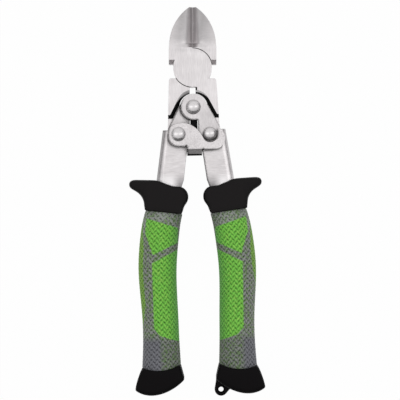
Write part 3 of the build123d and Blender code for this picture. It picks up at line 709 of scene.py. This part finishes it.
def side_strip(side, x, y):
    """The lime strip down the grip's outer side, which narrows at both ends."""
    line = grip_line(y)
    outer_edge = line[..., 0] + line[..., 1] / 2
    head, foot = side_strip_span[side]
    taper = np.minimum(share((y - foot) / strip_foot_taper),
                       share((head + strip_head_lead - y) / strip_head_taper))
    strip = share((x - outer_edge + side_strip_width * taper) / strip_edge_fade)
    return strip * share((head - y) / strip_head_fade) * (y > foot)


def yarn_maps(side, x, y, height, on_top):
    """What the yarn's finish needs to know of each point of the knit."""
    line = grip_line(y)
    inner_edge = line[..., 0] - line[..., 1] / 2
    strip = side_strip(side, x, y)
    lime = np.maximum(inside_panel(upper_panel, x, y), inside_panel(lower_panel, x, y))
    lime = np.maximum(lime, strip)
    cuff = share((cuff_from - y) / cuff_fade)
    # painted shade towards the grip's inner edge
    painted_inner_shade = share(1 - (x - inner_edge) / inner_shade_width) ** inner_shade_power
    plain = cuff * share((x - cuff_split[side]) / cuff_split_fade + 0.5)
    mixed_threads = (1 - plain) * (1 - strip)
    return {
        "weave": np.stack([height, on_top, mixed_threads], -1),
        "panels": np.stack([lime, cuff, painted_inner_shade], -1),
    }


def knit_sleeve(side):
    """A closed shell with the knit's strands standing on its outside."""
    angles = np.arange(around_steps) * 2 * math.pi / around_steps
    shares = np.linspace(0, 1, along_steps)
    x, y, z = sleeve_grid(angles, shares, knit_inset[side])
    column = np.broadcast_to(angles * knit_columns / (2 * math.pi), x.shape)
    height, on_top = knit_relief(column, y / knit_row)
    from_seam = np.minimum(shares, 1 - shares)[:, None] * abs(seam_end[0, 1] - seam_top[0, 1])
    raised = knit_depth * (height - knit_middle) * share(from_seam / knit_fade)
    across, up = outward(angles, y)
    outer = handle_places(x + across * raised, y, z + up * raised, side)
    inner = handle_places(*sleeve_grid(angles, np.linspace(0, 1, inner_steps), sleeve_wall), side)
    sleeve = tube("left_knit_sleeve" if side < 0 else "right_knit_sleeve", outer, inner, side)
    for label, values in yarn_maps(side, x, y, height, on_top).items():
        attribute = sleeve.data.attributes.new(label, "FLOAT_VECTOR", "POINT")
        padded = np.zeros((len(sleeve.data.vertices), 3), np.float32)
        padded[:outer.size // 3] = values.reshape(-1, 3)
        attribute.data.foreach_set("vector", padded.ravel())
    return sleeve


# ---- rubber ----
seam_kept = 0.3                   # width in mm of the strip beside a seam that keeps its place
seam_fade = 2.5                   # width in mm over which the softening sets in
smoothing_pull = 0.5              # share of the way to its neighbours' middle that a point moves in a pass


def over_top_seam(side, places):
    """How far above the guard's seam the scene's places are, in mm."""
    x, y = square_places(places, side)
    return y - seam_heights(x)[0] - seam_kept


def under_end_seam(side, places):
    """How far below the end cap's seam the scene's places are, in mm."""
    x, y = square_places(places, side)
    return seam_heights(x)[1] - y - seam_kept


def even_skin(node, name, voxel_mm):
    """A new piece with an even mesh over a solid's skin."""
    made = bpy.data.objects.new(name, nodes[node].data.copy())
    bpy.context.scene.collection.objects.link(made)
    remesh = made.modifiers.new("skin", "REMESH")
    remesh.mode = "VOXEL"
    remesh.voxel_size = voxel_mm * MM
    graph = bpy.context.evaluated_depsgraph_get()
    mesh = bpy.data.meshes.new_from_object(made.evaluated_get(graph))
    made.modifiers.clear()
    made.data = mesh
    mesh.materials.clear()
    return made


def read_vectors(items, key):
    values = np.empty(len(items) * 3)
    items.foreach_get(key, values)
    return values.reshape(-1, 3)


def relaxed(mesh, places, weight, passes):
    """The places once each was drawn towards the middle of its neighbours, pass after pass."""
    edges = np.empty(len(mesh.edges) * 2, int)
    mesh.edges.foreach_get("vertices", edges)
    edges = edges.reshape(-1, 2)
    neighbours = np.bincount(edges.ravel(), minlength=len(places))[:, None]
    for _ in range(passes):
        total = np.zeros_like(places)
        np.add.at(total, edges[:, 0], places[edges[:, 1]])
        np.add.at(total, edges[:, 1], places[edges[:, 0]])
        places = places + (total / neighbours - places) * (smoothing_pull * weight)
    return places


def softened(node, name, side, from_seam, voxel_mm, passes, swell_mm):
    """A moulded rubber piece made from its solid: an even skin whose edges are eased by smoothing.

    Smoothing draws the skin in, and the swell makes up for that. Points near the seam against
    the knit keep their place, so the seam stays crisp.
    """
    made = even_skin(node, name, voxel_mm)
    mesh = made.data
    places = read_vectors(mesh.vertices, "co")
    weight = share(from_seam(side, places) / seam_fade)[:, None]
    places = relaxed(mesh, places, weight, passes)
    mesh.vertices.foreach_set("co", places.ravel())
    mesh.update()
    places = places + read_vectors(mesh.vertex_normals, "vector") * (swell_mm * MM * weight)
    mesh.vertices.foreach_set("co", places.ravel())
    mesh.update()
    mesh.shade_smooth()
    return made


# ---- studio ----
lens_mm, sensor_mm = 180.0, 36.0
width_shown = 0.2365
view_middle = (0.00177, 0.00083)
far_limit = 50

lamp_target = (0, 0.03, 0)
lamp_width, lamp_length = 0.30, 0.90
left_lamp_place, left_lamp_radiance = (-0.55, 0.08, 0.85), 0.8
right_lamp_place, right_lamp_radiance = (0.55, 0.14, 0.85), 1.0
room_light = 0.62

card_near, card_far = -0.85, 1.0  # the near card's place, and the far end of the side cards
near_card_half, near_card_height = 1.3, 0.60
side_card_off, side_card_height = 1.0, 0.25
card_roughness = 0.9

floor_half = 12.0
floor_drop = 0.0003               # below the lowest solid, as the swollen rubber reaches a little under it
floor_grey = 0.82
floor_shown = 0.98                # share of plain white; the rest takes the light and the shadow


def camera():
    made = bpy.data.objects.new("camera", bpy.data.cameras.new("camera"))
    bpy.context.scene.collection.objects.link(made)
    made.data.lens = lens_mm
    made.data.sensor_width = sensor_mm
    made.data.clip_end = far_limit
    made.location = (*view_middle, hub.z + width_shown * lens_mm / sensor_mm)
    bpy.context.scene.camera = made


def softbox(name, place, radiance):
    """An even rectangular light. Its power follows from how bright its face is."""
    lamp = bpy.data.lights.new(name, "AREA")
    lamp.shape = "RECTANGLE"
    lamp.size = lamp_width
    lamp.size_y = lamp_length
    lamp.energy = radiance * math.pi * lamp_width * lamp_length
    made = bpy.data.objects.new(name, lamp)
    bpy.context.scene.collection.objects.link(made)
    made.location = place
    made.rotation_mode = "QUATERNION"
    made.rotation_quaternion = (Vector(lamp_target) - Vector(place)).to_track_quat("-Z", "Y")
    made.visible_camera = False


def lights():
    softbox("box_left", left_lamp_place, left_lamp_radiance)
    softbox("box_right", right_lamp_place, right_lamp_radiance)


def card_material(name, grey):
    material = bpy.data.materials.new(name)
    material.use_nodes = True
    shader = material.node_tree.nodes["Principled BSDF"]
    shader.inputs["Base Color"].default_value = rgb(grey, grey, grey)
    shader.inputs["Roughness"].default_value = card_roughness
    return material


def card(name, start, end, height, material):
    """An upright card that the metal reflects and the camera doesn't see."""
    corners = [(*start, 0), (*end, 0), (*end, height), (*start, height)]
    made = mesh_object(name, corners, [(0, 1, 2, 3)], smooth=False)
    made.data.materials.append(material)
    made.visible_camera = False


def cards():
    """Dark cards round the table, which give the metal its darker tones."""
    black = card_material("black_card", 0.02)
    grey = card_material("grey_card", 0.16)
    card("near_card", (-near_card_half, card_near), (near_card_half, card_near), near_card_height, black)
    card("left_card", (-side_card_off, card_near), (-side_card_off, card_far), side_card_height, grey)
    card("right_card", (side_card_off, card_near), (side_card_off, card_far), side_card_height, grey)


def white_to_the_eye(tree):
    """1 for what is seen, straight or in metal or glass, and 0 for light that falls on things."""
    path = tree.nodes.new("ShaderNodeLightPath")
    seen = Signal(tree, path.outputs["Is Camera Ray"])
    for ray in ("Is Glossy Ray", "Is Transmission Ray"):
        seen = seen.most(Signal(tree, path.outputs[ray]))
    return seen


def lit_or_shown(tree, output_kind, lit, shown, shown_share):
    """Joins what lights and what is seen into one surface."""
    output = tree.nodes.new(output_kind)
    mix = tree.nodes.new("ShaderNodeMixShader")
    join(tree, white_to_the_eye(tree) * shown_share, mix.inputs[0])
    tree.links.new(lit.outputs[0], mix.inputs[1])
    tree.links.new(shown.outputs[0], mix.inputs[2])
    tree.links.new(mix.outputs[0], output.inputs["Surface"])


def room():
    """A plain white room that lights the table more softly than it looks."""
    scene = bpy.context.scene
    scene.world = bpy.data.worlds.new("room")
    scene.world.use_nodes = True
    tree = scene.world.node_tree
    tree.nodes.clear()
    lit = tree.nodes.new("ShaderNodeBackground")
    lit.inputs["Color"].default_value = rgb(1, 1, 1)
    lit.inputs["Strength"].default_value = room_light
    shown = tree.nodes.new("ShaderNodeBackground")
    shown.inputs["Color"].default_value = rgb(1, 1, 1)
    shown.inputs["Strength"].default_value = 1.0
    lit_or_shown(tree, "ShaderNodeOutputWorld", lit, shown, 1.0)


def floor():
    half = floor_half
    corners = [(-half, -half, 0), (half, -half, 0), (half, half, 0), (-half, half, 0)]
    made = mesh_object("floor", corners, [(0, 1, 2, 3)], smooth=False)
    made.location.z = floor_height - floor_drop
    material = bpy.data.materials.new("white_floor")
    material.use_nodes = True
    tree = material.node_tree
    tree.nodes.clear()
    lit = tree.nodes.new("ShaderNodeBsdfDiffuse")
    lit.inputs["Color"].default_value = rgb(floor_grey, floor_grey, floor_grey)
    shown = tree.nodes.new("ShaderNodeEmission")
    shown.inputs["Strength"].default_value = 1.0
    lit_or_shown(tree, "ShaderNodeOutputMaterial", lit, shown, floor_shown)
    made.data.materials.append(material)


# ---- dressing ----
def dress(node, material):
    target = nodes[node]
    target.data.materials.clear()
    target.data.materials.append(material)


def stand_in(piece, node, body, material):
    """A finished piece takes the place of its CAD node."""
    piece.data.materials.append(material)
    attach(piece, body)
    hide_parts(node)


def steel_pieces():
    dress("front_jaw", forged_steel("front_forging", -1))
    dress("rear_jaw", forged_steel("rear_forging", 1))
    dress("left_handle_frame", handle_sheet("left_sheet", flank_side=-1))
    dress("right_handle_frame", handle_sheet("right_sheet", fold_shade_strength=0.3))
    dress("lock_latch", latch_sheet())
    domes = polished_steel()
    for node in ("left_pivot_rivet", "right_pivot_rivet", "top_pivot_rivet"):
        dress(node, domes)


def small_parts():
    turned = turned_metal("turned_steel", rgb(0.50, 0.49, 0.48), rgb(0.66, 0.65, 0.64), roughness=0.25)
    for node in ("hub_pin", "latch_spacer", "rear_spacer"):
        dress(node, turned)
    bronze = turned_metal("turned_bronze", rgb(0.50, 0.34, 0.16), rgb(0.62, 0.46, 0.26), roughness=0.3)
    for node in ("left_tang_bush", "right_tang_bush"):
        dress(node, bronze)
    wire = turned_metal("oiled_wire", rgb(0.05, 0.05, 0.055), rgb(0.10, 0.10, 0.11), roughness=0.35)
    dress("return_springs", wire)
    nylon = moulded("bobbin_nylon", rgb(0.010, 0.010, 0.011), rgb(0.018, 0.018, 0.02),
                    roughness=0.45, grain_depth=0.1)
    dress("spring_bobbin", nylon)


def grips():
    core = moulded("core_plastic", rgb(0.03, 0.03, 0.032), rgb(0.05, 0.05, 0.052),
                   roughness=0.5, grain_scale=4.0, grain_depth=0.1)
    rubber = moulded("black_rubber", rgb(0.0062, 0.0048, 0.0052), rgb(0.0088, 0.0070, 0.0074), roughness=0.44)
    heel = moulded("heel_rubber", rgb(0.0030, 0.0022, 0.0028), rgb(0.0048, 0.0038, 0.0044),
                   roughness=0.50, sheen=0.07)
    yarn = knit()
    for side, word in ((-1, "left"), (1, "right")):
        body = word + "_handle"
        dress(word + "_grip_core", core)
        stand_in(knit_sleeve(side), word + "_grip_sleeve", body, yarn)
        collar = softened(word + "_guard", word + "_thumb_guard", side, over_top_seam,
                          voxel_mm=0.6, passes=26, swell_mm=0.22)
        stand_in(collar, word + "_guard", body, rubber)
        cap = softened(word + "_end_cap", word + "_heel_cap", side, under_end_seam,
                       voxel_mm=0.5, passes=10, swell_mm=0.1)
        stand_in(cap, word + "_end_cap", body, heel)


camera()
room()
lights()
cards()
floor()
steel_pieces()
small_parts()
grips()

bpy.context.scene.view_settings.view_transform = "Standard"
bpy.context.view_layer.update()
